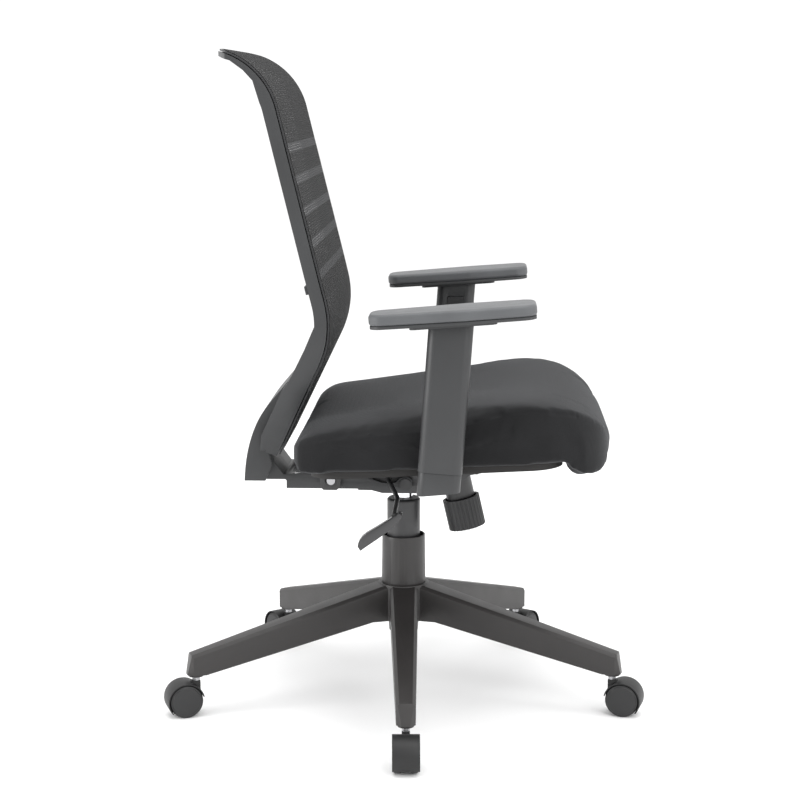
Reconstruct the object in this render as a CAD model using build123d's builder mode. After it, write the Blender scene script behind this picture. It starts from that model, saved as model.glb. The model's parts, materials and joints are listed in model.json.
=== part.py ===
from build123d import *
from math import cos, radians, sin, tan
import os

# Swivel office chair with a mesh back, height-adjustable arms, a gas lift and a five-arm caster base.
# The chair faces -Y, its right side is -X, +Z is up, and the origin is on the floor under the column.
# All sizes are in millimetres.

os.makedirs("parts", exist_ok=True)

# ---- driving dimensions ------------------------------------------------------------------
caster_circle = 325.0        # column axis to caster stem
first_arm_angle = 182.9      # direction of the base arm on the chair's right
arm_count = 5
column_radius = 25.0         # standard 50 mm gas-lift column
cylinder_radius = 14.0       # standard 28 mm pressure tube
running_gap = 0.05           # radial clearance of turning and sliding fits
face_gap = 0.4               # gap between faces of two bodies
seat_half_width = 245.0
seat_tilt = 3.0              # degrees, front edge up
arm_lean = 4.1               # degrees, top of the arm post forward
pad_tilt = 4.3               # degrees, front of the arm pad up
arm_offset = 271.0           # centre plane of each arm post from the middle of the chair
back_lean = 13.81             # degrees, upper back from the vertical


def save(shape, name):
    """Labels a finished piece and writes it as its own STEP file."""
    shape.label = name
    export_step(shape, f"parts/{name}.step")


def front_up(degrees_up, x, y, z):
    """A plane at a point, with its -Y side raised."""
    a = radians(degrees_up)
    return Plane(origin=(x, y, z), x_dir=(1, 0, 0), z_dir=(0, sin(a), cos(a)))


# ---- base --------------------------------------------------------------------------------
hub_bottom, hub_top, hub_radius = 121.0, 177.0, 38.0
arm_end_bottom, arm_end_top = 62.0, 93.0
arm_end_radius = 337.0       # column axis to the tip of a base arm
arm_hub_width, arm_tip_width = 42.0, 27.0
arm_wall = 3.5
stem_radius, stem_boss_radius = 5.5, 11.5
stem_boss_bottom = 59.0
column_bottom, column_top = 101.0, 303.0
taper_start, column_foot_radius = 150.0, 22.0


def arm_side(drop, end_inset):
    """Side outline of a base arm, lowered and shortened to make its hollow."""
    return [
        (0, hub_top - 1 - drop),
        (hub_radius - 4, hub_top - 1 - drop),
        (arm_end_radius - 4 - end_inset, arm_end_top - drop),
        (arm_end_radius + 2 - end_inset, arm_end_bottom - 20 * (drop > 0)),
        (312 - end_inset, arm_end_bottom - 20 * (drop > 0)),
        (56, hub_bottom - 20 * (drop > 0)),
        (0, hub_bottom - 20 * (drop > 0)),
    ]


def arm_plan(inset):
    """Top outline of a base arm, wider at the hub and round at its tip."""
    root, tip = arm_hub_width / 2 - inset, arm_tip_width / 2 - inset
    end = arm_end_radius + 3 - inset
    return [(0, -root), (hub_radius, -root), (end - 9, -tip), (end, -tip + 9), (end, tip - 9),
            (end - 9, tip), (hub_radius, root), (0, root)]


with BuildPart() as base_arm:
    with BuildSketch(Plane.XZ):
        with BuildLine():
            Polyline(*arm_side(0, 0), close=True)
        make_face()
    extrude(amount=arm_hub_width, both=True)
    with BuildSketch(Plane.XY):
        with BuildLine():
            Polyline(*arm_plan(0), close=True)
        make_face()
    extrude(amount=hub_top + 20, mode=Mode.INTERSECT)
    top_edges = base_arm.edges().filter_by(
        lambda e: e.length > 200 and e.center().Z > 120 and abs(e.center().Y) > 10)
    chamfer(top_edges, length=4.5)

with BuildPart() as base_arm_hollow:
    with BuildSketch(Plane.XZ):
        with BuildLine():
            Polyline(*arm_side(5, 26), close=True)
        make_face()
    extrude(amount=arm_hub_width, both=True)
    with BuildSketch(Plane.XY):
        with BuildLine():
            Polyline((44, -arm_hub_width / 2 + arm_wall), (306, -arm_tip_width / 2 + arm_wall),
                     (306, arm_tip_width / 2 - arm_wall), (44, arm_hub_width / 2 - arm_wall), close=True)
        make_face()
    extrude(amount=hub_top + 20, mode=Mode.INTERSECT)
    rib_places = [(110, 0, 0), (170, 0, 0), (230, 0, 0)]
    with Locations(*rib_places):
        Box(arm_wall, 60, 400, mode=Mode.SUBTRACT)

arm_angles = [first_arm_angle + k * 360 / arm_count for k in range(arm_count)]

with BuildPart() as base_star:
    for angle in arm_angles:
        add(base_arm.part.rotate(Axis.Z, angle))
    with BuildSketch(Plane.XY.offset(hub_bottom)):
        Circle(hub_radius)
    extrude(amount=hub_top - hub_bottom)
    for angle in arm_angles:
        add(base_arm_hollow.part.rotate(Axis.Z, angle), mode=Mode.SUBTRACT)
    with BuildSketch(Plane.XY.offset(stem_boss_bottom)):
        with PolarLocations(caster_circle, arm_count, start_angle=first_arm_angle):
            Circle(stem_boss_radius)
    extrude(amount=12)
    with BuildSketch(Plane.XY.offset(stem_boss_bottom - 1)):
        with PolarLocations(caster_circle, arm_count, start_angle=first_arm_angle):
            Circle(stem_radius)
    extrude(amount=28, mode=Mode.SUBTRACT)
    with BuildSketch(Plane.XZ):
        with BuildLine():
            foot = column_foot_radius + (column_radius - column_foot_radius) * (
                hub_bottom - 1 - column_bottom) / (taper_start - column_bottom)
            Polyline((0, hub_bottom - 1), (foot + running_gap, hub_bottom - 1),
                     (column_radius + running_gap, taper_start),
                     (column_radius + running_gap, hub_top + 1), (0, hub_top + 1), close=True)
        make_face()
    revolve(axis=Axis.Z, mode=Mode.SUBTRACT)
save(base_star.part, "base_star")

# ---- gas column --------------------------------------------------------------------------
tube_inside = column_radius - 2
plate_thickness = 3.0
rod_radius, rod_hole_radius = 5.0, 6.0

with BuildPart() as column_tube:
    with BuildSketch(Plane.XZ):
        with BuildLine():
            Polyline((rod_hole_radius, column_bottom), (column_foot_radius, column_bottom),
                     (column_radius, taper_start), (column_radius, column_top), (tube_inside, column_top),
                     (tube_inside, taper_start), (column_foot_radius - 2, column_bottom + plate_thickness),
                     (rod_hole_radius, column_bottom + plate_thickness), close=True)
        make_face()
    revolve(axis=Axis.Z)
save(column_tube.part, "column_tube")

bush_length = 66.0
bush_bore = cylinder_radius + running_gap

with BuildPart() as column_bush:
    with BuildSketch(Plane.XZ):
        with BuildLine():
            Polyline((bush_bore, column_top - bush_length), (tube_inside - 0.05, column_top - bush_length),
                     (tube_inside - 0.05, column_top + 0.05), (column_radius, column_top + 0.05),
                     (column_radius, column_top + 2), (column_radius - 2.5, column_top + 4.5),
                     (bush_bore, column_top + 4.5), close=True)
        make_face()
    revolve(axis=Axis.Z)
save(column_bush.part, "column_guide_bush")

collar_top, collar_radius, collar_wall = 251.0, 33.0, 2.5

with BuildPart() as column_collar:
    with BuildSketch(Plane.XZ):
        with BuildLine():
            Polyline((column_radius + 0.1, hub_top + 0.05), (collar_radius + 0.5, hub_top + 0.05),
                     (collar_radius - 0.5, collar_top), (collar_radius - collar_wall, collar_top),
                     (collar_radius - collar_wall, hub_top + 4), (column_radius + 0.1, hub_top + 4), close=True)
        make_face()
    revolve(axis=Axis.Z)
    fillet(column_collar.edges().group_by(Axis.Z)[-1], radius=0.9)
save(column_collar.part, "column_collar")

piston_bottom, piston_height = 230.0, 12.0
cylinder_bottom, cylinder_top = 112.0, 336.0
cylinder_bore = 12.0
pin_radius, pin_top, pin_bottom = 3.5, 345.0, 320.0

with BuildPart() as piston_rod:
    with BuildSketch(Plane.XY.offset(column_bottom - 5)):
        Circle(rod_radius)
    extrude(amount=piston_bottom - column_bottom + 5)
    with BuildSketch(Plane.XY.offset(piston_bottom)):
        Circle(cylinder_bore - running_gap)
    extrude(amount=piston_height)
save(piston_rod.part, "piston_rod")

with BuildPart() as thrust_bearing:
    bearing_floor = column_bottom + plate_thickness + 0.05
    for level in (0, 4.0):
        with BuildSketch(Plane.XY.offset(bearing_floor + level)):
            Circle(14)
            Circle(rod_radius + 0.02, mode=Mode.SUBTRACT)
        extrude(amount=1.5)
    with Locations((0, 0, bearing_floor + 2.75)):
        with PolarLocations(9.5, 12):
            Sphere(1.6)
save(thrust_bearing.part, "thrust_bearing")

with BuildPart() as retaining_clip:
    with BuildSketch(Plane.XY.offset(column_bottom - 2.2)):
        Circle(9)
        Circle(rod_radius + 0.02, mode=Mode.SUBTRACT)
        with Locations((0, -7)):
            Rectangle(6, 10, mode=Mode.SUBTRACT)
    extrude(amount=1.5)
save(retaining_clip.part, "retaining_clip")

with BuildPart() as gas_cylinder:
    with BuildSketch(Plane.XZ):
        with BuildLine():
            Polyline((rod_radius + running_gap, cylinder_bottom), (cylinder_radius - 1, cylinder_bottom),
                     (cylinder_radius, cylinder_bottom + 2), (cylinder_radius, cylinder_top - 20),
                     (cylinder_radius - 0.5, cylinder_top - 1), (cylinder_radius - 1.5, cylinder_top),
                     (pin_radius + running_gap, cylinder_top), (pin_radius + running_gap, cylinder_top - 12),
                     (cylinder_bore, cylinder_top - 12), (cylinder_bore, cylinder_bottom + 12),
                     (rod_radius + running_gap, cylinder_bottom + 12), close=True)
        make_face()
    revolve(axis=Axis.Z)
save(gas_cylinder.part, "gas_cylinder")

with BuildPart() as release_pin:
    with BuildSketch(Plane.XY.offset(pin_bottom)):
        Circle(pin_radius)
    extrude(amount=pin_top - pin_bottom)
    chamfer(release_pin.edges().group_by(Axis.Z)[-1], length=1.6)
save(release_pin.part, "gas_release_pin")

# ---- tilt mechanism ----------------------------------------------------------------------
chassis_half, chassis_wall = 50.0, 3.0
housing_radius = 21.5
chassis_bottom, chassis_rear, chassis_front = 324.0, 92.0, -121.0
main_pivot = (-5.0, 339.0)          # (y, z) of the pivots of the back arm
front_pivot = (-108.0, 366.0)       # (y, z) of the pivot of the seat plate
link = (105.0, 346.0)               # (y, z) of the bolt that joins back arm and seat plate
lever_axis = (20.0, 347.0)          # (y, z) of the lever's rod
lever_rod_radius = 3.5
pivot_radius = 6.0
plate_inner, plate_outer = 54.0, 58.0   # the back arm's side plates, from the middle
ear_inner, ear_outer = 61.5, 64.5       # the seat plate's rear ears, from the middle
knob_tilt = 13.0
knob_axis_point = (-86.5, 309.0)
seat_plane = front_up(seat_tilt, 0, 0, 385.0)

chassis_side = [(chassis_rear, chassis_bottom + 8), (chassis_rear, 338), (chassis_front + 4, 376),
                (chassis_front, 373), (chassis_front, 356), (-100, 352), (-62, chassis_bottom),
                (30, chassis_bottom), (60, chassis_bottom + 8)]

knob_direction = (0, -sin(radians(knob_tilt)), -cos(radians(knob_tilt)))
knob_plane = Plane(origin=(0, *knob_axis_point), x_dir=(1, 0, 0), z_dir=knob_direction)

with BuildPart() as chassis:
    with BuildSketch(Plane.YZ):
        with BuildLine():
            Polyline(*chassis_side, close=True)
        make_face()
    extrude(amount=chassis_half, both=True)
    # the spring housing leaves the front of the tray
    with BuildSketch(knob_plane):
        Circle(housing_radius)
    extrude(amount=-46)
    with BuildSketch(Plane.YZ):
        with BuildLine():
            Polyline((chassis_rear + 1, chassis_bottom + 11), (chassis_rear + 1, 400),
                     (chassis_front + chassis_wall, 400), (chassis_front + chassis_wall, 359),
                     (-99, 355), (-61, chassis_bottom + chassis_wall), (29, chassis_bottom + chassis_wall),
                     (59, chassis_bottom + 11), close=True)
        make_face()
    extrude(amount=chassis_half - chassis_wall, both=True, mode=Mode.SUBTRACT)
    with BuildSketch(knob_plane):
        Circle(housing_radius - 2.5)
    extrude(amount=-60, mode=Mode.SUBTRACT)
    with BuildSketch(Plane.XY.offset(chassis_bottom - 1)):
        Circle(20.05)
    extrude(amount=6, mode=Mode.SUBTRACT)
    with BuildSketch(Plane.YZ):
        for place, radius in ((main_pivot, pivot_radius), (front_pivot, pivot_radius),
                              (lever_axis, lever_rod_radius)):
            with Locations(place):
                Circle(radius + running_gap)
    extrude(amount=chassis_half + 1, both=True, mode=Mode.SUBTRACT)
    with BuildSketch(knob_plane):
        Circle(housing_radius)
        Circle(5.3, mode=Mode.SUBTRACT)
    extrude(amount=-3)
save(chassis.part, "mechanism_chassis")

with BuildPart() as taper_socket:
    with BuildSketch(Plane.XZ):
        with BuildLine():
            Polyline((cylinder_radius + 0.02, 320), (20, 320), (20, 331), (17.5, 334),
                     (cylinder_radius + 0.02, 334), close=True)
        make_face()
    revolve(axis=Axis.Z)
save(taper_socket.part, "taper_socket")

with BuildPart() as main_pivots:
    for side in (-1, 1):
        start = Plane(origin=(side * 45.5, *main_pivot), x_dir=(0, 1, 0), z_dir=(side, 0, 0))
        with BuildSketch(start):
            Circle(pivot_radius)
        extrude(amount=14)
        with BuildSketch(start.offset(14)):
            Circle(pivot_radius + 3)
        extrude(amount=2.5)
        with BuildSketch(start.offset(-1.5)):
            RegularPolygon(pivot_radius + 3, 6)
        extrude(amount=2.9)
save(main_pivots.part, "main_pivot_bolts")

with BuildPart() as front_pin:
    with BuildSketch(Plane(origin=(-62, *front_pivot), x_dir=(0, 1, 0), z_dir=(1, 0, 0))):
        Circle(pivot_radius)
    extrude(amount=124)
save(front_pin.part, "front_pivot_pin")

spring_radius, spring_wire, spring_pitch, spring_turns = 13.5, 1.8, 6.5, 5

spring_plane = Plane(origin=knob_plane.offset(-5.5).origin, x_dir=(1, 0, 0), z_dir=-knob_plane.z_dir)
coil = spring_plane * Helix(pitch=spring_pitch, height=spring_pitch * spring_turns, radius=spring_radius)

with BuildPart() as tension_spring:
    with BuildSketch(Plane(origin=coil @ 0, z_dir=coil % 0)):
        Circle(spring_wire)
    sweep(path=coil, is_frenet=True)
save(tension_spring.part, "tension_spring")

knob_radius, knob_length, knob_flutes = 28.0, 46.5, 28

with BuildPart() as tension_knob:
    with BuildSketch(knob_plane.offset(face_gap)):
        Circle(knob_radius)
        with PolarLocations(knob_radius + 0.6, knob_flutes):
            Circle(1.7, mode=Mode.SUBTRACT)
    extrude(amount=knob_length)
    end_face = tension_knob.faces().sort_by(Axis.Z)[0]
    fillet(end_face.edges(), radius=0.8)
    with BuildSketch(knob_plane.offset(face_gap)):
        Circle(knob_radius - 4)
        Circle(9, mode=Mode.SUBTRACT)
    extrude(amount=30, mode=Mode.SUBTRACT)
    with BuildSketch(knob_plane.offset(face_gap)):
        Circle(5.02)
    extrude(amount=34, mode=Mode.SUBTRACT)
save(tension_knob.part, "tension_knob")

with BuildPart() as tension_bolt:
    with BuildSketch(knob_plane.offset(-46)):
        Circle(5)
    extrude(amount=46 + 33)
    with BuildSketch(knob_plane.offset(-44)):
        Circle(16)
    extrude(amount=3)
save(tension_bolt.part, "tension_bolt")

lock_inner = 33.0

with BuildPart() as lock_slider:
    with BuildSketch(Plane(origin=(lock_inner, *lever_axis), x_dir=(0, 1, 0), z_dir=(1, 0, 0))):
        Circle(7)
        with Locations((12, 0)):
            Rectangle(18, 6)
        Circle(lever_rod_radius + running_gap, mode=Mode.SUBTRACT)
    extrude(amount=8)
save(lock_slider.part, "tilt_lock_slider")

lever_inner_end, lever_outer_end = 66.0, -208.0
lever_reach = (5.0, 326.0)           # (y, z) of the rod outside the tray

with BuildPart() as lever_rod:
    with BuildLine():
        FilletPolyline((lever_inner_end, *lever_axis), (-64, *lever_axis), (-92, *lever_reach),
                       (lever_outer_end, *lever_reach), radius=18)
    with BuildSketch(Plane(origin=(lever_inner_end, *lever_axis), z_dir=(-1, 0, 0))):
        Circle(lever_rod_radius)
    sweep()
    # the flat finger that presses the release pin
    with BuildSketch(Plane.XY.offset(pin_top + 0.3)):
        with Locations((8.5, 8)):
            Rectangle(27, 24)
    extrude(amount=4)
save(lever_rod.part, "lever_rod")

with BuildPart() as lever_paddle:
    with BuildSketch(Plane.YZ.offset(-199)):
        with BuildLine():
            upper = Spline((-3, 332), (14, 320), (36, 306), (52, 294), (56, 283))
            lower = Spline((52, 277), (33, 291), (14, 305), (0, 318), (-7, 329))
            Line(upper @ 1, lower @ 0)
            Line(lower @ 1, upper @ 0)
        make_face()
    extrude(amount=-20)
    with BuildSketch(Plane.XY):
        with BuildLine():
            FilletPolyline((-200, -12), (-200, 40), (-203, 62), (-216, 62), (-219, 40), (-219, -12),
                           radius=5, close=True)
        make_face()
    extrude(amount=400, mode=Mode.INTERSECT)
    add(lever_rod.part, mode=Mode.SUBTRACT)
save(lever_paddle.part, "lever_paddle")

# ---- seat --------------------------------------------------------------------------------
seat_plate_front, seat_plate_rear = -120.0, 126.0
slot_length, slot_height, slot_shift = 15.6, 11.6, 1.4
board_thickness = 10.0

with BuildPart() as seat_plate:
    with BuildSketch(seat_plane.offset(-3)):
        with Locations((0, (seat_plate_front + seat_plate_rear) / 2)):
            RectangleRounded(2 * ear_outer, seat_plate_rear - seat_plate_front, 10)
        with GridLocations(96, 180, 2, 2):
            Circle(4, mode=Mode.SUBTRACT)
    extrude(amount=3)
    # rear ears carry the slot of the link bolt, front ears the seat's own pivot
    with BuildSketch(Plane.YZ):
        with BuildLine():
            Polyline((86, 379), (92, 335), (97, 331), (116, 331), (121, 335), (124, 377), close=True)
        make_face()
        with Locations((link[0] + slot_shift, link[1])):
            SlotOverall(slot_length, slot_height, rotation=-2, mode=Mode.SUBTRACT)
    extrude(amount=ear_outer, both=True)
    with BuildSketch(Plane.YZ):
        with BuildLine():
            Polyline((75, 315), (135, 315), (135, 374.93), (75, 378.06), close=True)
        make_face()
    extrude(amount=ear_inner, both=True, mode=Mode.SUBTRACT)
    with BuildSketch(Plane.YZ):
        with BuildLine():
            Polyline((-119, 389.5), (-117, 360), (-112, 355), (-104, 355), (-99, 360), (-95, 388.5), close=True)
        make_face()
        with Locations(front_pivot):
            Circle(pivot_radius + running_gap, mode=Mode.SUBTRACT)
    extrude(amount=plate_inner + 3.5, both=True)
    with BuildSketch(Plane.YZ):
        with BuildLine():
            Polyline((-125, 350), (-90, 350), (-90, 386.71), (-125, 388.54), close=True)
        make_face()
    extrude(amount=plate_inner, both=True, mode=Mode.SUBTRACT)
save(seat_plate.part, "seat_plate")

board_half, board_front, board_rear = 222.0, -232.0, 124.0

with BuildPart() as seat_board:
    with BuildSketch(seat_plane):
        with Locations((0, (board_front + board_rear) / 2)):
            RectangleRounded(2 * board_half, board_rear - board_front, 45)
    extrude(amount=board_thickness)
save(seat_board.part, "seat_board")

with BuildPart() as seat_cushion:
    with BuildSketch(Plane.YZ):
        with BuildLine():
            top = Spline((139, 388.1), (152, 406), (150, 425), (132, 442), (96, 451), (15, 464), (-95, 478),
                         (-185, 487), (-242, 479), (-284, 455), (-304, 424), (-303, 401), (-290, 386), (-271, 380))
            under = Spline((-271, 380), (-257, 386), (-243, 397), (-237, 407.7))
            Line(under @ 1, top @ 0)
        make_face()
    extrude(amount=seat_half_width, both=True)
    with BuildSketch(Plane.XY.offset(340)):
        with BuildLine():
            w = seat_half_width
            Polyline((-w, -215), (-w, 118), (-w + 9, 142), (-w + 30, 150), (-90, 154), (90, 154),
                     (w - 30, 150), (w - 9, 142), (w, 118), (w, -215))
            ThreePointArc((w, -215), (w - 38, -275), (w - 100, -297))
            ThreePointArc((w - 100, -297), (0, -310), (-w + 100, -297))
            ThreePointArc((-w + 100, -297), (-w + 38, -275), (-w, -215))
        make_face()
    extrude(amount=200, mode=Mode.INTERSECT)
save(seat_cushion.part, "seat_cushion")

with BuildPart() as seat_bolts:
    with BuildSketch(seat_plane.offset(-3.05)):
        with GridLocations(96, 180, 2, 2):
            RegularPolygon(6.5, 6)
    extrude(amount=-4)
save(seat_bolts.part, "seat_bolts")

# ---- arms --------------------------------------------------------------------------------
post_foot = (-61.0, 406.0)           # (y, z) of the middle of the arm post near its foot
sleeve_depth, sleeve_thickness = 61.0, 30.0
bar_depth, bar_thickness = 40.0, 8.0
seam_height = -4.0                   # along the post, from post_foot
bar_top = 160.0
pad_centre = (-78.0, 608.5)          # (y, z) of the middle of the pad's underside
pad_length, pad_width, pad_thickness = 226.0, 88.0, 16.0
pan_thickness, mount_thickness = 4.0, 4.0
arm_bolt_x = (150.0, 180.0, 210.0)


def arm_plane(side):
    a = radians(arm_lean)
    return Plane(origin=(side * arm_offset, *post_foot), x_dir=(1, 0, 0), z_dir=(0, -sin(a), cos(a)))


def pad_plane(side):
    return front_up(pad_tilt, side * arm_offset, *pad_centre)


def pad_outline(inset):
    """Plan of the arm pad: full in the middle, narrower towards the rear, with round corners."""
    half, rear, front = pad_width / 2 - inset, pad_length / 2 - inset, -pad_length / 2 + inset
    return make_face(FilletPolyline((half - 5, front), (half, -20), (half - 12, rear), (-half + 12, rear),
                                    (-half, -20), (-half + 5, front), radius=20 - inset, close=True).edges())


pad_face, pan_face = pad_outline(0), pad_outline(1)

for side, word in ((-1, "right"), (1, "left")):
    post, pad = arm_plane(side), pad_plane(side)

    with BuildPart() as arm_bracket:
        with BuildSketch(seat_plane):
            with Locations((side * (130 + arm_offset + bar_thickness / 2) / 2, post_foot[0])):
                Rectangle(arm_offset + bar_thickness / 2 - 130, bar_depth)
            with Locations(*[(side * x, post_foot[0]) for x in arm_bolt_x]):
                Circle(3.3, mode=Mode.SUBTRACT)
        extrude(amount=-6)
        with BuildSketch(post.offset(-22)):
            Rectangle(bar_thickness, bar_depth)
        extrude(amount=22 + bar_top)
    save(arm_bracket.part, f"arm_bracket_{word}")

    with BuildPart() as arm_foot:
        with BuildSketch(post.offset(seam_height)):
            RectangleRounded(sleeve_thickness - 2, sleeve_depth - 2, 11)
        extrude(amount=-36)
        with BuildSketch(Plane.YZ.offset(side * 258)):
            with BuildLine():
                Polyline((-88, 381.5), (-84, 371), (-34, 370.5), (-30, 379), (-30, 380.6), (-88, 383.6), close=True)
            make_face()
        extrude(amount=-side * 34)
        # the lower edge falls towards the rear
        with BuildSketch(Plane.YZ):
            with BuildLine():
                Polyline((-15, 369), (-105, 377), (-105, 330), (-15, 330), close=True)
            make_face()
        extrude(amount=300, both=True, mode=Mode.SUBTRACT)
        add(arm_bracket.part, mode=Mode.SUBTRACT)
    save(arm_foot.part, f"arm_foot_{word}")

    with BuildPart() as arm_sleeve:
        with BuildSketch(post.offset(seam_height + face_gap)):
            RectangleRounded(sleeve_thickness, sleeve_depth, 12)
        extrude(amount=230)
        split(bisect_by=pad.offset(-mount_thickness), keep=Keep.BOTTOM)
        with BuildSketch(post.offset(seam_height)):
            Rectangle(bar_thickness + 0.6, bar_depth + 0.6)
        extrude(amount=bar_top - seam_height + 8, mode=Mode.SUBTRACT)
        # pocket for the release button, on the inner face near the top
        button_plane = Plane(origin=(side * (arm_offset - sleeve_thickness / 2), -73.5, 578),
                             x_dir=(0, 1, 0), z_dir=(-side, 0, 0))
        with BuildSketch(button_plane):
            RectangleRounded(26.4, 14.4, 3)
        extrude(amount=-9, mode=Mode.SUBTRACT)
    save(arm_sleeve.part, f"arm_sleeve_{word}")

    with BuildPart() as arm_button:
        with BuildSketch(button_plane.offset(-5)):
            RectangleRounded(26, 14, 2.8)
        extrude(amount=6.5)
        fillet(arm_button.faces().sort_by(Axis.X)[0 if side > 0 else -1].edges(), radius=1.0)
    save(arm_button.part, f"arm_button_{word}")

    with BuildPart() as pad_base:
        with BuildSketch(pad):
            add(pan_face)
        extrude(amount=pan_thickness)
        with BuildSketch(pad):
            RectangleRounded(56, 118, 8)
        extrude(amount=-mount_thickness)
    save(pad_base.part, f"arm_pad_base_{word}")

    with BuildPart() as arm_pad:
        with BuildSketch(pad.offset(pan_thickness)):
            add(pad_face)
        extrude(amount=pad_thickness)
        pad_top = arm_pad.faces().sort_by(Axis.Z)[-1]
        fillet(pad_top.edges(), radius=5)
    save(arm_pad.part, f"arm_pad_{word}")

with BuildPart() as arm_bolts:
    for side in (-1, 1):
        with BuildSketch(seat_plane.offset(-6)):
            with Locations(*[(side * x, post_foot[0]) for x in arm_bolt_x]):
                RegularPolygon(5.5, 6)
        extrude(amount=-4)
save(arm_bolts.part, "arm_bolts")

# ---- back --------------------------------------------------------------------------------
# The front face of the mesh, seen from the side, as (y, z): straight up from the yoke, round the
# lumbar bend, straight again, then rolled backwards at the crest.
profile = [(176.5, 388.0), (85.5, 580.0), (179.5, 962.5), (263.5, 976.0)]
profile_radii = [140.0, 110.0]
mesh_thickness, carrier_depth, frame_depth = 0.8, 3.4, 17.4
frame_gap = 1.2               # the dark joint between frame and carrier


def profile_band(near, far):
    """Solid band between two offsets of the profile, behind the mesh, across the whole width."""
    front = FilletPolyline(*profile, radius=profile_radii)
    inner = front if near == 0 else offset(front, near, side=Side.RIGHT, closed=False)
    outer = offset(front, far, side=Side.RIGHT, closed=False)
    ends = [Line(inner @ 0, outer @ 0), Line(inner @ 1, outer @ 1)]
    band = make_face([*inner.edges(), *outer.edges(), *ends])
    return extrude(Plane.YZ * band, amount=250, both=True)


def back_outline(inset, crest_inset, floor):
    """Front view of the back at an inset from its edge, as a solid; floor is its lower edge."""
    top = 1010 if crest_inset == 0 else 978 - crest_inset
    low = [(104 - inset, floor), (148 - inset, 446), (192 - inset, 508), (211 - inset, 590), (215 - inset, 660)]
    low = [p for p in low if p[1] >= floor]
    side_line = Polyline(*low, (211 - inset, 905))
    other_side = Polyline(*[(-x, z) for x, z in low], (-211 + inset, 905))
    top_line = FilletPolyline((211 - inset, 905), (206 - inset, top), (-206 + inset, top),
                              (-211 + inset, 905), radius=48 if crest_inset == 0 else 30)
    floor_line = Line(side_line @ 0, other_side @ 0)
    outline = make_face([*side_line.edges(), *other_side.edges(), *top_line.edges(), floor_line])
    return extrude(Plane.XZ * outline, amount=-400)


def crest_plan(reach):
    """Solid under a plan arc, so that the crest stands furthest back in its middle."""
    return Pos(0, reach - crest_plan_radius, 690) * Cylinder(crest_plan_radius, 700)


rail_width, crest_height, mesh_floor = 24.0, 16.0, 470.0
crest_plan_radius, crest_reach = 727.0, 265.0
frame_front, frame_back = carrier_depth + frame_gap, carrier_depth + frame_gap + frame_depth

frame_band, frame_outer = profile_band(frame_front, frame_back), back_outline(0, 0, 384)
frame_opening = back_outline(rail_width, crest_height, mesh_floor)
carrier_band, carrier_outer = profile_band(mesh_thickness + 0.08, carrier_depth), back_outline(2.5, 0, 392)
carrier_opening = back_outline(16, crest_height - 6, mesh_floor - 10)
mesh_band, mesh_outer = profile_band(0, mesh_thickness), back_outline(3.5, 0, 396)
frame_plan, carrier_plan, mesh_plan = [crest_plan(crest_reach - inset) for inset in (0, 2, 3)]

with BuildPart() as back_frame:
    add(frame_band)
    # the rails grow deeper towards the yoke
    with BuildSketch(Plane.YZ):
        with BuildLine():
            Polyline((106, 592), (116, 592), (130, 560), (153, 514), (164, 499), (180, 466), (200, 425),
                     (204, 400), (186, 400), (172, 430), (155, 466), (132, 514), (112, 560), close=True)
        make_face()
    extrude(amount=250, both=True)
    add(frame_outer, mode=Mode.INTERSECT)
    add(frame_plan, mode=Mode.INTERSECT)
    add(frame_opening, mode=Mode.SUBTRACT)
    # the underside of the crest rises to a thin lip at the rear
    with BuildSketch(Plane.YZ):
        with BuildLine():
            Polyline((188, 900), (197, 929), (210, 943), (228, 956), (265, 966), (300, 968), (300, 880),
                     (200, 880), close=True)
        make_face()
    extrude(amount=250, both=True, mode=Mode.SUBTRACT)
save(back_frame.part, "back_frame")

with BuildPart() as mesh_carrier:
    add(carrier_band)
    add(carrier_outer, mode=Mode.INTERSECT)
    add(carrier_plan, mode=Mode.INTERSECT)
    add(carrier_opening, mode=Mode.SUBTRACT)
save(mesh_carrier.part, "mesh_carrier")

with BuildPart() as back_mesh:
    add(mesh_band)
    add(mesh_outer, mode=Mode.INTERSECT)
    add(mesh_plan, mode=Mode.INTERSECT)
save(back_mesh.part, "back_mesh")

# the lumbar bar slides on the straight upper part of the rails
lumbar_height, lumbar_bar_height, lumbar_lug_height, lumbar_pad_height = 649.0, 12.0, 26.0, 50.0
upper_lean = radians(back_lean)
lumbar_face = Plane(origin=(0, profile[1][0] + (lumbar_height - 580) * tan(upper_lean), lumbar_height),
                    x_dir=(1, 0, 0), z_dir=(0, -cos(upper_lean), sin(upper_lean)))
rail_back = carrier_depth + frame_gap + frame_depth
with BuildPart() as lumbar_bar:
    with BuildSketch(lumbar_face.offset(-rail_back - 0.4)):
        RectangleRounded(2 * 211, lumbar_bar_height, 3)
    extrude(amount=-3.6)
    with BuildSketch(lumbar_face.offset(-rail_back - 1)):
        Rectangle(2 * 188.2, lumbar_lug_height)
        Rectangle(2 * 180, lumbar_lug_height, mode=Mode.SUBTRACT)
    extrude(amount=12)
    with BuildSketch(lumbar_face.offset(-rail_back - 1)):
        RectangleRounded(220, lumbar_pad_height, 12)
    extrude(amount=rail_back - 6)
    with BuildSketch(lumbar_face.offset(-rail_back + 3)):
        RectangleRounded(212, lumbar_pad_height - 8, 8)
    extrude(amount=-20, mode=Mode.SUBTRACT)
    with BuildSketch(lumbar_face.offset(-rail_back - 0.4)):
        Rectangle(214, lumbar_bar_height)
    extrude(amount=-3.6)
save(lumbar_bar.part, "lumbar_bar")

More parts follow.
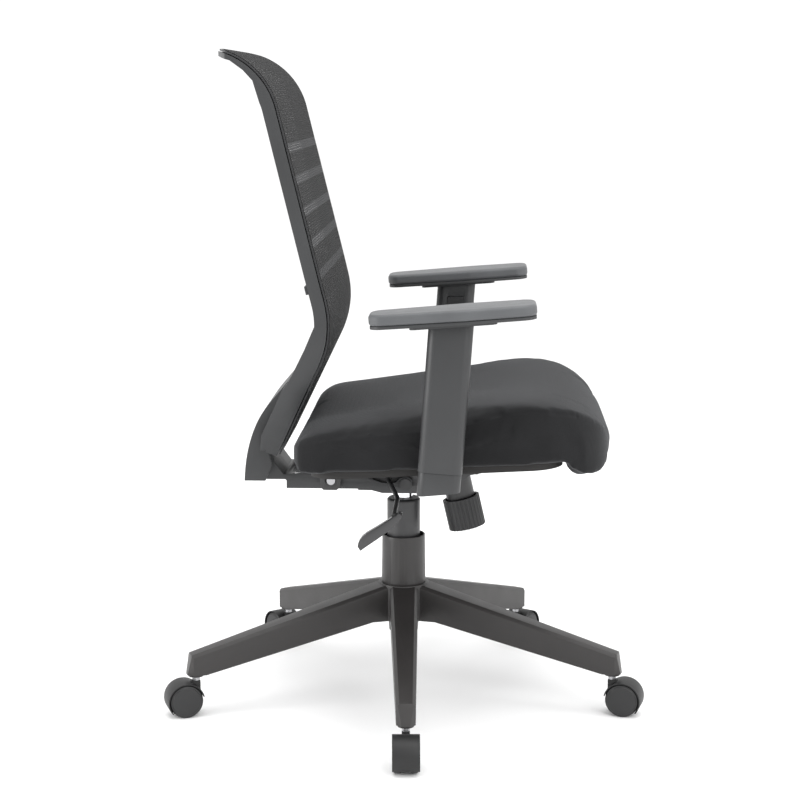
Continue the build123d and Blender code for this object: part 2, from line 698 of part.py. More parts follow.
# the yoke joins the back frame to the two plates of the back arm
with BuildPart() as back_arm:
    with BuildSketch(Plane.YZ):
        with BuildLine():
            front_top = (120, 353)
            Polyline(front_top, (176, 353), (190, 372), (196, 398), (142, 500), (161, 500))
            Spline((161, 500), (201, 448), (225, 381), (228, 352), tangents=[(0.8, -1), (0.05, -1)])
            Polyline((228, 352), (223, 345.5), (174, 345.5), (170, 342), (120, 342), front_top)
        make_face()
    extrude(amount=plate_outer, both=True)
    with BuildSketch(Plane.XY):
        with Locations((0, 120)):
            Rectangle(2 * plate_inner, 90)
    extrude(amount=400, mode=Mode.SUBTRACT)
    with BuildSketch(Plane.YZ.offset(plate_inner)):
        with BuildLine():
            Polyline((-15, 334), (-10, 329.5), (65, 330), (66, 332), (172, 332), (172, 353), (119, 357),
                     (60, 352), (30, 341.5), (10, 341.5), (3, 349), (-8, 350.5), (-15, 346), close=True)
        make_face()
        with Locations(main_pivot):
            Circle(pivot_radius + running_gap, mode=Mode.SUBTRACT)
        with Locations(link):
            Circle(5.02, mode=Mode.SUBTRACT)
    plate = extrude(amount=plate_outer - plate_inner)
    mirror(plate, about=Plane.YZ)
    add(back_frame.part, mode=Mode.SUBTRACT)
save(back_arm.part, "back_arm")

with BuildPart() as link_bolt:
    with BuildSketch(Plane(origin=(-66, *link), x_dir=(0, 1, 0), z_dir=(1, 0, 0))):
        Circle(5)
    extrude(amount=132)
    for side in (-1, 1):
        with BuildSketch(Plane(origin=(side * 65.2, *link), x_dir=(0, 1, 0), z_dir=(side, 0, 0))):
            Circle(6.2)
        extrude(amount=4)
save(link_bolt.part, "link_bolt")

cover_half = 88.0

with BuildPart() as back_cover:
    for inset, half, mode in ((0, cover_half, Mode.ADD), (2.5, cover_half - 3, Mode.SUBTRACT)):
        with BuildSketch(Plane.YZ):
            with BuildLine():
                far = Spline((166 - inset, 497), (205 - inset, 448), (228 - inset, 381), (231 - inset, 349),
                             tangents=[(0.8, -1), (0.05, -1)])
                Polyline(far @ 1, (200, 349), (190, 372), (195, 398), (142, 497), far @ 0)
            make_face()
        extrude(amount=half, both=True, mode=mode)
    add(back_arm.part, mode=Mode.SUBTRACT)
    add(back_frame.part, mode=Mode.SUBTRACT)
save(back_cover.part, "back_cover")

# ---- casters -----------------------------------------------------------------------------
wheel_radius, wheel_offset, face_radius = 25.0, 18.0, 21.8
web_half, wheel_inner, wheel_outer = 5.5, 6.0, 19.0
guard_inner, guard_outer = 25.7, 27.4
stem_low_radius = 3.8
hood_top = wheel_radius + guard_outer
wheel_centre = (caster_circle + wheel_offset, wheel_radius)
axle_radius = 3.0

stem_profile = [(0, 29), (stem_low_radius, 29), (stem_low_radius, hood_top + 0.4),
                (stem_radius - running_gap, hood_top + 0.4), (stem_radius - running_gap, 85), (0, 85)]

with BuildPart() as caster_stem:
    with BuildSketch(Plane.XZ):
        with BuildLine():
            Polyline(*stem_profile, close=True)
        make_face()
    revolve(axis=Axis.Z)

with BuildPart() as caster_stems:
    for angle in arm_angles:
        add(caster_stem.part.translate((caster_circle, 0, 0)).rotate(Axis.Z, angle))
save(caster_stems.part, "caster_stems")

with BuildPart() as caster_hood:
    with BuildSketch(Plane.XZ):
        with Locations(wheel_centre):
            Circle(guard_outer)
            Circle(guard_inner, mode=Mode.SUBTRACT)
    extrude(amount=wheel_outer, both=True)
    with BuildSketch(Plane.XZ):
        with Locations(wheel_centre):
            Circle(guard_outer)
    extrude(amount=web_half, both=True)
    # the guard stops above the floor, and is open on the side of the column
    with BuildSketch(Plane.XZ):
        with BuildLine():
            x, z = wheel_centre
            Polyline((x - 60, -10), (x + 60, -10), (x + 60, 8), (x + 16, 8), (x - 6, 14), (x - 20, 30),
                     (x - 60, 36), close=True)
        make_face()
    extrude(amount=40, both=True, mode=Mode.SUBTRACT)
    with BuildSketch(Plane.XZ):
        with Locations(wheel_centre):
            Circle(12)
        with Locations((caster_circle + 1, 37)):
            Rectangle(13, 2 * (hood_top - 37))
    extrude(amount=web_half, both=True)
    with BuildSketch(Plane.XY.offset(28.5)):
        with Locations((caster_circle, 0)):
            Circle(stem_low_radius + running_gap)
    extrude(amount=40, mode=Mode.SUBTRACT)
    with BuildSketch(Plane.XZ):
        with Locations(wheel_centre):
            Circle(axle_radius)
    extrude(amount=40, both=True, mode=Mode.SUBTRACT)

with BuildPart() as caster_wheels:
    with BuildSketch(Plane.XY):
        with BuildLine():
            r = axle_radius + running_gap
            Polyline((0, 17.3), (r, 17.3), (r, wheel_inner), (7, wheel_inner), (7, 15.5), (face_radius, 15.5),
                     (face_radius, wheel_inner + 1), (face_radius + 1, wheel_inner),
                     (wheel_radius - 1, wheel_inner), (wheel_radius, wheel_inner + 1.5), (wheel_radius, 15.5),
                     (wheel_radius - 1.5, 17.5), (face_radius, 17.8), (face_radius - 1, 19), (0, 19), close=True)
        make_face()
    wheel = revolve(axis=Axis.Y)
    mirror(wheel, about=Plane.XZ)

with BuildPart() as caster_axle:
    with BuildSketch(Plane.XZ.offset(-17)):
        Circle(axle_radius)
    extrude(amount=34)

for k, angle in enumerate(arm_angles, 1):
    save(caster_hood.part.rotate(Axis.Z, angle), f"caster_hood_{k}")
    save(caster_wheels.part.translate((wheel_centre[0], 0, wheel_radius)).rotate(Axis.Z, angle),
         f"caster_wheels_{k}")
    save(caster_axle.part.translate((wheel_centre[0], 0, wheel_radius)).rotate(Axis.Z, angle),
         f"caster_axle_{k}")
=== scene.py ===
import json
import math

import bmesh
import bpy
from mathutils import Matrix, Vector


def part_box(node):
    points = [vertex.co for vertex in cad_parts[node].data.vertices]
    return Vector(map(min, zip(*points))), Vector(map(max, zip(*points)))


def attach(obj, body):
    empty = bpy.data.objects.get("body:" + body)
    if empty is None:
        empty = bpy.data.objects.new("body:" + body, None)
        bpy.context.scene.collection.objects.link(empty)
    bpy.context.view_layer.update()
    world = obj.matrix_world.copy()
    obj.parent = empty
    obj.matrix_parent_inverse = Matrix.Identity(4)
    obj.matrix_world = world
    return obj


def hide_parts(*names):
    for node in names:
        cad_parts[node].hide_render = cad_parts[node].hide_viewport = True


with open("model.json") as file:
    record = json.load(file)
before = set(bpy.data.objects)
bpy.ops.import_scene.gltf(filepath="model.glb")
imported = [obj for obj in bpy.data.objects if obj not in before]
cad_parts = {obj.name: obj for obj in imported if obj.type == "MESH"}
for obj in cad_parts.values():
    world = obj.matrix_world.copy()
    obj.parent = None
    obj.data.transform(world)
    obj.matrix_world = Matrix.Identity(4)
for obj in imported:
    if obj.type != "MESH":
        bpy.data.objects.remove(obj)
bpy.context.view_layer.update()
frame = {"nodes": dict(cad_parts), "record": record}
print("frame loaded:", len(frame["nodes"]), "nodes")

scene = bpy.context.scene
slotOf = {part["node"]: part["material_slot"] for part in frame["record"]["subparts"]}
bodies = frame["record"]["behaviour"]["bodies"]
bodyOf = {node: body for body, members in bodies.items() for node in members}


# ---- materials ----

class Recipe:
    # one material with its shader, and short calls to add nodes to it
    def __init__(self, name, roughness, metallic=0.0, **sockets):
        self.material = bpy.data.materials.new(name)
        self.material.use_nodes = True
        self.tree = self.material.node_tree
        self.shader = self.tree.nodes["Principled BSDF"]
        self.shader.inputs["Roughness"].default_value = roughness
        self.shader.inputs["Metallic"].default_value = metallic
        for socket, value in sockets.items():
            self.shader.inputs[socket.replace("_", " ")].default_value = value

    def node(self, kind, inputs=None, **settings):
        made = self.tree.nodes.new("ShaderNode" + kind)
        for setting, value in settings.items():
            setattr(made, setting, value)
        for socket, value in (inputs or {}).items():
            if isinstance(value, bpy.types.NodeSocket):
                self.tree.links.new(value, made.inputs[socket])
            else:
                made.inputs[socket].default_value = value
        return made

    def place(self):
        return self.node("TexCoord").outputs["Object"]

    def noise(self, scale, detail=3.0, vector=None):
        found = self.node("TexNoise", {"Scale": scale, "Detail": detail, "Vector": vector or self.place()})
        return found.outputs["Fac"]

    def ramp(self, value, low, high, lowColour, highColour):
        made = self.node("ValToRGB", {"Fac": value})
        made.color_ramp.elements[0].position = low
        made.color_ramp.elements[1].position = high
        made.color_ramp.elements[0].color = (*lowColour, 1)
        made.color_ramp.elements[1].color = (*highColour, 1)
        return made.outputs["Color"]

    def math(self, operation, a, b=0.0):
        made = self.node("Math", operation=operation)
        for place, value in enumerate((a, b)):
            if isinstance(value, bpy.types.NodeSocket):
                self.tree.links.new(value, made.inputs[place])
            else:
                made.inputs[place].default_value = value
        return made.outputs["Value"]

    def span(self, value, low, high):
        made = self.node("MapRange", {"Value": value, "To Min": low, "To Max": high})
        return made.outputs["Result"]

    def colour(self, socket):
        self.tree.links.new(socket, self.shader.inputs["Base Color"])

    def roughness(self, socket):
        self.tree.links.new(socket, self.shader.inputs["Roughness"])

    def bump(self, height, strength, distance, below=None):
        inputs = {"Height": height, "Strength": strength, "Distance": distance}
        if below is not None:
            inputs["Normal"] = below
        made = self.node("Bump", inputs)
        self.tree.links.new(made.outputs["Normal"], self.shader.inputs["Normal"])
        return made.outputs["Normal"]


def shade(colour, factor):
    return tuple(channel * factor for channel in colour)


def mouldedPlastic(name, colour, roughness, grain, grainDepth, edgeWear=0.25):
    # moulded nylon: spark-eroded grain, faint flow patches, edges rubbed lighter
    recipe = Recipe(name, roughness, Specular_IOR_Level=0.45)
    patches = recipe.ramp(recipe.noise(9.0, 4.0), 0.35, 0.7, shade(colour, 0.88), shade(colour, 1.1))
    corner = recipe.node("NewGeometry").outputs["Pointiness"]
    worn = recipe.ramp(corner, 0.5, 0.62, (0, 0, 0), (1, 1, 1))
    wear = recipe.math("MULTIPLY", worn, edgeWear)
    mixed = recipe.node("Mix", {"Factor": wear}, data_type="RGBA")
    recipe.tree.links.new(patches, mixed.inputs["A"])
    mixed.inputs["B"].default_value = (*shade(colour, 2.2), 1)
    recipe.colour(mixed.outputs["Result"])
    recipe.roughness(recipe.span(recipe.noise(38.0, 5.0), roughness - 0.07, roughness + 0.09))
    waves = recipe.bump(recipe.noise(14.0, 2.0), 0.06, 0.002)
    recipe.bump(recipe.noise(grain, 2.0), 0.5, grainDepth, below=waves)
    return recipe.material


def paintedSteel(name, colour, roughness):
    # powder coat: fine orange peel
    recipe = Recipe(name, roughness, Specular_IOR_Level=0.5, Coat_Weight=0.15, Coat_Roughness=0.3)
    recipe.colour(recipe.ramp(recipe.noise(22.0), 0.3, 0.7, shade(colour, 0.8), shade(colour, 1.25)))
    recipe.roughness(recipe.span(recipe.noise(60.0), roughness - 0.08, roughness + 0.1))
    recipe.bump(recipe.noise(420.0, 2.0), 0.35, 0.00025)
    return recipe.material


def bareMetal(name, colour, roughness, scratches):
    # turned or plated metal: fine lines round the axis and a little uneven polish
    recipe = Recipe(name, roughness, metallic=1.0)
    stretched = recipe.node("Mapping", {"Vector": recipe.place(), "Scale": (1.0, 1.0, 30.0)}).outputs["Vector"]
    lines = recipe.noise(90.0, 4.0, vector=stretched)
    recipe.colour(recipe.ramp(lines, 0.3, 0.75, shade(colour, 0.86), colour))
    recipe.roughness(recipe.span(lines, roughness * 0.7, roughness * 1.5))
    recipe.bump(lines, scratches, 0.0001)
    return recipe.material


def seatFabric(name, colour):
    # plain woven cover: threads over and under in each direction, with soft fuzz and sheen
    recipe = Recipe(name, 0.86, Sheen_Weight=0.1, Sheen_Roughness=0.4, Specular_IOR_Level=0.25)
    recipe.shader.inputs["Sheen Tint"].default_value = (0.94, 0.96, 1.0, 1)
    axes = recipe.node("SeparateXYZ", {"Vector": recipe.place()}).outputs
    threadsPerMetre = 900.0
    waves = [recipe.math("SINE", recipe.math("MULTIPLY", axes[axis], threadsPerMetre * 2 * math.pi))
             for axis in ("X", "Y", "Z")]
    weave = recipe.math("ADD", recipe.math("ADD", waves[0], waves[1]), waves[2])
    cloudy = recipe.ramp(recipe.noise(16.0, 5.0), 0.3, 0.72, shade(colour, 0.72), shade(colour, 1.35))
    flecks = recipe.ramp(recipe.noise(1500.0, 2.0), 0.35, 0.75, shade(colour, 0.6), shade(colour, 1.6))
    mixed = recipe.node("Mix", {"Factor": 0.4}, data_type="RGBA")
    recipe.tree.links.new(cloudy, mixed.inputs["A"])
    recipe.tree.links.new(flecks, mixed.inputs["B"])
    recipe.colour(mixed.outputs["Result"])
    fuzz = recipe.bump(recipe.noise(700.0, 3.0), 0.35, 0.0004)
    recipe.bump(weave, 0.3, 0.00012, below=fuzz)
    return recipe.material


def softPad(name, colour):
    # self-skinned foam: pebbled skin, matte on the worn top
    recipe = Recipe(name, 0.5, Specular_IOR_Level=0.42, Sheen_Weight=0.06)
    recipe.colour(recipe.ramp(recipe.noise(18.0, 4.0), 0.3, 0.7, shade(colour, 0.9), shade(colour, 1.12)))
    cells = recipe.node("TexVoronoi", {"Scale": 1100.0, "Vector": recipe.place()}).outputs["Distance"]
    recipe.roughness(recipe.span(recipe.noise(50.0, 4.0), 0.42, 0.6))
    recipe.bump(cells, 0.3, 0.0002)
    return recipe.material


def stainedPly(name, colour):
    recipe = Recipe(name, 0.7)
    layers = recipe.node("Mapping", {"Vector": recipe.place(), "Scale": (4.0, 4.0, 260.0)}).outputs["Vector"]
    grain = recipe.noise(3.0, 4.0, vector=layers)
    recipe.colour(recipe.ramp(grain, 0.3, 0.7, shade(colour, 0.6), shade(colour, 1.5)))
    recipe.bump(recipe.noise(5.0, 4.0, vector=layers), 0.25, 0.0004)
    return recipe.material


netLook = {
    "pitch": 0.0034, "uprightShare": 0.8, "bandCount": 5, "bandStep": 0.0432, "bandHeight": 0.012,
    "lowestBand": 0.665, "yarn": (0.0045, 0.0046, 0.005), "paleYarn": (0.03, 0.0305, 0.032),
    # below these heights of the two yarn waves the net is open: plain net first, bands second
    "rowGap": (-0.98, -0.9), "uprightGap": (-0.94, -0.85),
}


def netFabric(name):
    # knitted net: cross yarns in rows joined by thin uprights, with open rows at the bands
    recipe = Recipe(name, 0.75, Sheen_Weight=0.03, Sheen_Roughness=0.4, Specular_IOR_Level=0.16)
    flat = recipe.node("UVMap").outputs["UV"]
    across, along = recipe.node("SeparateXYZ", {"Vector": flat}).outputs[:2]
    worldHeight = recipe.node("SeparateXYZ", {"Vector": recipe.place()}).outputs["Z"]
    rowTurn = 2 * math.pi / netLook["pitch"]
    rows = recipe.math("SINE", recipe.math("MULTIPLY", along, rowTurn))
    uprights = recipe.math("SINE", recipe.math("MULTIPLY", across, rowTurn * netLook["uprightShare"]))
    band = recipe.math("SUBTRACT", worldHeight, netLook["lowestBand"])
    inStep = recipe.math("PINGPONG", band, netLook["bandStep"] / 2)
    isBand = recipe.math("LESS_THAN", inStep, netLook["bandHeight"] / 2)
    above = recipe.math("GREATER_THAN", band, -netLook["bandHeight"])
    bandsEnd = netLook["bandStep"] * (netLook["bandCount"] - 1) + netLook["bandHeight"]
    below = recipe.math("LESS_THAN", band, bandsEnd)
    isBand = recipe.math("MULTIPLY", isBand, recipe.math("MULTIPLY", above, below))
    closed = recipe.math("GREATER_THAN", rows, recipe.span(isBand, *netLook["rowGap"]))
    joined = recipe.math("GREATER_THAN", uprights, recipe.span(isBand, *netLook["uprightGap"]))
    solid = recipe.math("MAXIMUM", closed, joined)
    tone = recipe.node("Mix", {"Factor": isBand}, data_type="RGBA")
    tone.inputs["A"].default_value = (*netLook["yarn"], 1)
    tone.inputs["B"].default_value = (*netLook["paleYarn"], 1)
    recipe.colour(tone.outputs["Result"])
    recipe.tree.links.new(solid, recipe.shader.inputs["Alpha"])
    recipe.bump(recipe.math("ADD", rows, uprights), 0.5, 0.0005)
    return recipe.material


def stripFabric(name, colour):
    # ribbed edge strip that holds the net
    recipe = Recipe(name, 0.68, Sheen_Weight=0.12, Specular_IOR_Level=0.35)
    axes = recipe.node("SeparateXYZ", {"Vector": recipe.place()}).outputs
    ribs = recipe.math("SINE", recipe.math("MULTIPLY", axes["Z"], 2 * math.pi / 0.0026))
    recipe.colour(recipe.ramp(ribs, 0.0, 1.0, shade(colour, 0.75), shade(colour, 1.3)))
    fuzz = recipe.bump(recipe.noise(900.0, 2.0), 0.3, 0.0003)
    recipe.bump(ribs, 0.45, 0.0003, below=fuzz)
    return recipe.material


charcoal, warmGrey, nearBlack = (0.025, 0.0258, 0.027), (0.0215, 0.0198, 0.0194), (0.013, 0.013, 0.0138)
finishes = {
    "charcoal_plastic": mouldedPlastic("Charcoal moulding", charcoal, 0.42, 1400.0, 0.00018),
    "base_nylon": mouldedPlastic("Base nylon", warmGrey, 0.4, 1100.0, 0.0002),
    "black_plastic": mouldedPlastic("Black moulding", nearBlack, 0.45, 1500.0, 0.00015),
    "caster_nylon": mouldedPlastic("Caster hood nylon", (0.0065, 0.0065, 0.0067), 0.5, 1300.0, 0.00015),
    "caster_tread": mouldedPlastic("Caster wheel nylon", (0.0145, 0.0145, 0.015), 0.42, 1600.0, 0.00012),
    "gloss_plastic": mouldedPlastic("Lever gloss moulding", (0.035, 0.035, 0.036), 0.2, 300.0, 0.00008),
    "strip_plastic": stripFabric("Net edge strip", (0.028, 0.0285, 0.03)),
    "painted_steel": paintedSteel("Powder-coated steel", (0.019, 0.019, 0.02), 0.45),
    "bright_steel": bareMetal("Zinc-plated steel", (0.45, 0.45, 0.465), 0.34, 0.3),
    "chrome": bareMetal("Ground piston chrome", (0.82, 0.82, 0.84), 0.1, 0.05),
    "seat_fabric": seatFabric("Seat cover weave", (0.0078, 0.0079, 0.0086)),
    "mesh_fabric": netFabric("Back net"),
    "pad_foam": softPad("Arm pad skin", (0.072, 0.075, 0.079)),
    "plywood": stainedPly("Stained seat board", (0.0085, 0.0075, 0.007)),
}
print("materials made:", len(finishes))


def dress(piece, slot):
    piece.data.materials.clear()
    piece.data.materials.append(finishes[slot])


sharpEdge = 32  # degrees between the faces of a crisp edge
for name, node in frame["nodes"].items():
    dress(node, slotOf[name])
    node.data.shade_smooth()
    node.data.set_sharp_from_angle(angle=math.radians(sharpEdge))


# ---- helpers for new pieces ----

def meshPiece(name, mesh):
    piece = bpy.data.objects.new(name, mesh)
    scene.collection.objects.link(piece)
    return piece


def applyModifiers(piece):
    graph = bpy.context.evaluated_depsgraph_get()
    baked = bpy.data.meshes.new_from_object(piece.evaluated_get(graph))
    piece.modifiers.clear()
    old = piece.data
    piece.data = baked
    bpy.data.meshes.remove(old)


sameSpot = 2e-6  # metres between points that are one point


def joinTriangles(mesh, flatness=0.6):
    # turns the triangles of a flat face back into one face, so that only true edges are left
    work = bmesh.new()
    work.from_mesh(mesh)
    bmesh.ops.remove_doubles(work, verts=work.verts, dist=sameSpot)
    bmesh.ops.dissolve_limit(work, angle_limit=math.radians(flatness), verts=work.verts, edges=work.edges,
                             delimit={"NORMAL"})
    work.to_mesh(mesh)
    work.free()


edgeLook = {"segments": 3, "roundFrom": 34, "sharpFrom": 38}  # degrees between the faces of an edge
roundings = {
    # node: radius of its moulded edges in metres
    "back_frame": 0.0045, "mesh_carrier": 0.002, "back_arm": 0.002, "back_cover": 0.0015, "lumbar_bar": 0.0014,
    "base_star": 0.0016, "mechanism_chassis": 0.001, "seat_plate": 0.0006, "lever_paddle": 0.0026,
    "arm_sleeve_left": 0.0014, "arm_sleeve_right": 0.0014, "arm_foot_left": 0.0016, "arm_foot_right": 0.0016,
    "arm_bracket_left": 0.001, "arm_bracket_right": 0.001, "arm_pad_base_left": 0.0012,
    "arm_pad_base_right": 0.0012, "arm_pad_left": 0.0016, "arm_pad_right": 0.0016, "column_collar": 0.0004,
}
for number in range(1, 6):
    roundings[f"caster_hood_{number}"] = 0.0007
    roundings[f"caster_wheels_{number}"] = 0.0006


def roundedCopy(node, radius):
    # the same piece with its moulded edges rounded off
    mesh = frame["nodes"][node].data.copy()
    joinTriangles(mesh)
    words = node.split("_")
    piece = meshPiece(words[0] + "".join(word.capitalize() for word in words[1:]), mesh)
    rounding = piece.modifiers.new("edges", "BEVEL")
    rounding.width = radius
    rounding.segments = edgeLook["segments"]
    rounding.limit_method = "ANGLE"
    rounding.angle_limit = math.radians(edgeLook["roundFrom"])
    rounding.use_clamp_overlap = True
    rounding.harden_normals = False
    applyModifiers(piece)
    piece.data.shade_smooth()
    piece.data.set_sharp_from_angle(angle=math.radians(edgeLook["sharpFrom"]))
    dress(piece, slotOf[node])
    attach(piece, bodyOf[node])
    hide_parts(node)
    return piece


rounded = {node: roundedCopy(node, radius) for node, radius in roundings.items()}
print("edges rounded on", len(rounded), "pieces")


# ---- seat cushion ----

cushionLook = {
    "voxel": 0.005, "softening": 8, "pressure": 4.0, "frames": 20, "mostSwell": 0.006,
    "crownStart": 0.12, "crownDrop": 0.014, "crownLow": 0.04, "crownRise": 0.05,
    "crownFront": 0.06, "crownLength": 0.24, "creaseDrop": 0.007, "creaseDepth": 0.0018,
    "creaseWidth": 0.006, "creaseStep": 0.01, "sideBand": 0.02, "sideways": 0.3,
    "frontFade": 0.06, "rearFade": 0.05, "boardTilt": 3, "boardHalf": 0.0051, "boardLead": 0.004,
}
clothLook = {"mass": 0.25, "stretch": 25, "bending": 2.0}


def cushionShape():
    mesh = frame["nodes"]["seat_cushion"].data.copy()
    piece = meshPiece("seatCushion", mesh)
    remesh = piece.modifiers.new("even", "REMESH")
    remesh.mode = "VOXEL"
    remesh.voxel_size = cushionLook["voxel"]
    smooth = piece.modifiers.new("soften", "SMOOTH")
    smooth.factor = 0.5
    smooth.iterations = cushionLook["softening"]
    applyModifiers(piece)
    return piece


def swell(piece):
    # blows the cover up against its foam, then holds each point near where it started
    start = [vertex.co.copy() for vertex in piece.data.vertices]
    cloth = piece.modifiers.new("cover", "CLOTH")
    cloth.settings.use_pressure = True
    cloth.settings.uniform_pressure_force = cushionLook["pressure"]
    cloth.settings.effector_weights.gravity = 0
    cloth.settings.mass = clothLook["mass"]
    cloth.settings.tension_stiffness = clothLook["stretch"]
    cloth.settings.compression_stiffness = clothLook["stretch"]
    cloth.settings.bending_stiffness = clothLook["bending"]
    for number in range(1, cushionLook["frames"] + 1):
        scene.frame_set(number)
    applyModifiers(piece)
    scene.frame_set(1)
    for vertex, origin in zip(piece.data.vertices, start):
        move = vertex.co - origin
        if move.length > cushionLook["mostSwell"]:
            vertex.co = origin + move.normalized() * cushionLook["mostSwell"]


def seatOnBoard(piece):
    # the underside stays flat on the board
    low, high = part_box("seat_board")
    slope = math.tan(math.radians(cushionLook["boardTilt"]))
    middle = (low.y + high.y) / 2
    boardTop = (low.z + high.z) / 2 + cushionLook["boardHalf"]
    for vertex in piece.data.vertices:
        floor = boardTop - (vertex.co.y - middle) * slope
        if vertex.co.y > low.y - cushionLook["boardLead"] and vertex.co.z < floor:
            vertex.co.z = floor


def crown(piece):
    # the top falls a little towards both sides, and most of all near the rear
    low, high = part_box("seat_cushion")
    start, lowest, front = cushionLook["crownStart"], cushionLook["crownLow"], cushionLook["crownFront"]
    for vertex in piece.data.vertices:
        outward = (abs(vertex.co.x) - start) / (high.x - start)
        share = min(1, max(0, (vertex.co.z - low.z - lowest) / cushionLook["crownRise"]))
        rearward = min(1, max(0, (vertex.co.y - low.y - front) / cushionLook["crownLength"]))
        vertex.co.z -= cushionLook["crownDrop"] * max(0, outward) ** 2 * share * rearward


def creaseAlong(piece):
    # a soft crease where the top panel of the cover meets its side panel
    low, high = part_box("seat_cushion")
    step = cushionLook["creaseStep"]
    edge = {}
    for vertex in piece.data.vertices:
        if abs(vertex.co.x) > high.x - cushionLook["sideBand"]:
            key = round(vertex.co.y / step)
            edge[key] = max(edge.get(key, -1), vertex.co.z)
    keys = sorted(edge)
    near = (-2, -1, 0, 1, 2)
    smoothEdge = {key: sum(edge.get(key + away, edge[key]) for away in near) / len(near) for key in keys}
    for vertex in piece.data.vertices:
        along = vertex.co.y / step
        key = math.floor(along)
        if key not in smoothEdge or key + 1 not in smoothEdge:
            continue
        if abs(vertex.normal.x) < cushionLook["sideways"]:
            continue
        height = smoothEdge[key] + (smoothEdge[key + 1] - smoothEdge[key]) * (along - key)
        away = abs(vertex.co.z - height + cushionLook["creaseDrop"]) / cushionLook["creaseWidth"]
        ends = min(1, (vertex.co.y - low.y) / cushionLook["frontFade"],
                   (high.y - vertex.co.y) / cushionLook["rearFade"])
        if away < 1 and ends > 0:
            dip = cushionLook["creaseDepth"] * ends * (0.5 + 0.5 * math.cos(math.pi * away))
            vertex.co -= vertex.normal * dip


cushion = cushionShape()
swell(cushion)
crown(cushion)
seatOnBoard(cushion)
finer = cushion.modifiers.new("finer", "SUBSURF")
finer.levels = finer.render_levels = 1
applyModifiers(cushion)
creaseAlong(cushion)
cushion.data.shade_smooth()
dress(cushion, "seat_fabric")
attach(cushion, "seat")
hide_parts("seat_cushion")
print("cushion made:", len(cushion.data.vertices), "points")


# ---- back net ----

netShape = {"step": 0.012, "facing": (0, -0.7, 0.7), "leastFacing": 0.12, "mostSideways": 0.5}


def netSheet():
    # the front face of the net alone, cut into a grid and laid out flat in its UV map
    source = frame["nodes"]["back_mesh"].data
    facing = Vector(netShape["facing"])
    work = bmesh.new()
    work.from_mesh(source)
    bmesh.ops.remove_doubles(work, verts=work.verts, dist=sameSpot)
    work.normal_update()
    hidden = [face for face in work.faces if face.normal.dot(facing) < netShape["leastFacing"]
              or abs(face.normal.x) > netShape["mostSideways"]]
    bmesh.ops.delete(work, geom=hidden, context="FACES")
    for axis in (0, 2):
        low = min(vertex.co[axis] for vertex in work.verts)
        high = max(vertex.co[axis] for vertex in work.verts)
        place = low + netShape["step"]
        direction = Vector((0, 0, 0))
        direction[axis] = 1
        while place < high:
            point = Vector((0, 0, 0))
            point[axis] = place
            everything = work.verts[:] + work.edges[:] + work.faces[:]
            bmesh.ops.bisect_plane(work, geom=everything, plane_co=point, plane_no=direction, dist=1e-6)
            place += netShape["step"]
    line = sorted({(round(vertex.co.z, 5), round(vertex.co.y, 5)) for vertex in work.verts})
    lengths, total = {line[0]: 0.0}, 0.0
    for last, here in zip(line, line[1:]):
        total += math.dist(last, here)
        lengths[here] = total
    uv = work.loops.layers.uv.verify()
    for face in work.faces:
        for loop in face.loops:
            at = loop.vert.co
            loop[uv].uv = (at.x, lengths[(round(at.z, 5), round(at.y, 5))])
    mesh = bpy.data.meshes.new("backNet")
    work.to_mesh(mesh)
    work.free()
    return mesh, total


netMesh, netLength = netSheet()
net = meshPiece("backNet", netMesh)
net.data.shade_smooth()
dress(net, "mesh_fabric")
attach(net, "back")
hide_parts("back_mesh")


# ---- floor, light, camera ----

floorLook = {"half": 30.0, "pale": (0.945, 0.945, 0.945), "palest": (0.955, 0.955, 0.955)}


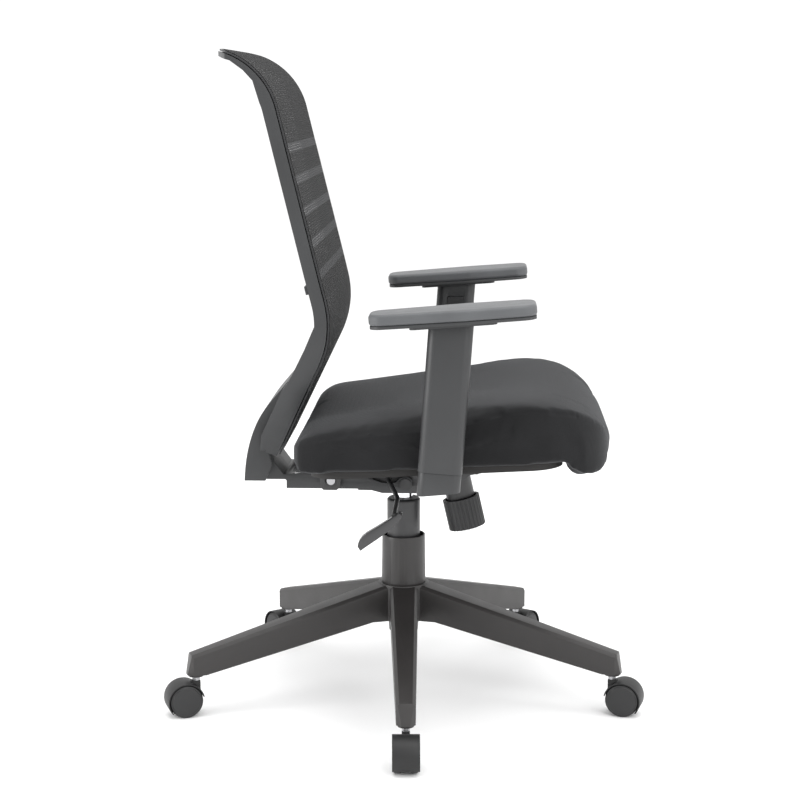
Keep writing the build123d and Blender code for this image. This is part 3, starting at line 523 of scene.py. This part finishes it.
def floorSheet():
    size = floorLook["half"]
    mesh = bpy.data.meshes.new("floor")
    corners = [(-size, -size, 0), (size, -size, 0), (size, size, 0), (-size, size, 0)]
    mesh.from_pydata(corners, [], [(0, 1, 2, 3)])
    floor = meshPiece("floor", mesh)
    recipe = Recipe("Pale floor", 0.6)
    recipe.colour(recipe.ramp(recipe.noise(2.0), 0.2, 0.8, floorLook["pale"], floorLook["palest"]))
    floor.data.materials.append(recipe.material)


def softbox(name, place, aim, size, power):
    light = bpy.data.lights.new(name, "AREA")
    light.shape = "RECTANGLE"
    light.size, light.size_y = size
    light.energy = power
    lamp = bpy.data.objects.new(name, light)
    lamp.location = place
    lamp.rotation_mode = "QUATERNION"
    lamp.rotation_quaternion = (Vector(aim) - Vector(place)).to_track_quat("-Z", "Y")
    scene.collection.objects.link(lamp)


cameraLook = {"lens": 83.46, "place": (-2.7493, -0.1136, 0.9161), "heading": (0.99906, 0.0433), "pitch": 0.1655}


def aimCamera():
    lens = bpy.data.cameras.new("camera")
    lens.sensor_width = 36.0
    lens.lens = cameraLook["lens"]
    camera = bpy.data.objects.new("camera", lens)
    level = math.cos(cameraLook["pitch"])
    across, along = cameraLook["heading"]
    aim = Vector((across * level, along * level, -math.sin(cameraLook["pitch"])))
    camera.location = cameraLook["place"]
    camera.rotation_mode = "QUATERNION"
    camera.rotation_quaternion = aim.to_track_quat("-Z", "Y")
    scene.collection.objects.link(camera)
    scene.camera = camera


def skyLight(strength):
    world = bpy.data.worlds.new("studio")
    world.use_nodes = True
    world.node_tree.nodes["Background"].inputs["Color"].default_value = (1, 1, 1, 1)
    world.node_tree.nodes["Background"].inputs["Strength"].default_value = strength
    scene.world = world


middle = (0, 0, 0.5)
softboxes = {
    # name: place, aim, size in metres, power in watts
    "overhead": ((-0.3, -0.2, 3.0), (0, 0, 0.4), (2.6, 2.6), 60),
    "cameraSide": ((-2.4, -1.6, 1.7), middle, (1.6, 1.6), 28),
    "frontSide": ((-0.6, -2.8, 1.4), middle, (1.4, 1.8), 16),
    "rearSide": ((-1.2, 2.6, 0.9), middle, (1.2, 1.2), 38),
}
floorSheet()
skyLight(1.1)
for name, (place, aim, size, power) in softboxes.items():
    softbox(name, place, aim, size, power)
aimCamera()
scene.view_settings.view_transform = "Standard"
print("studio ready")
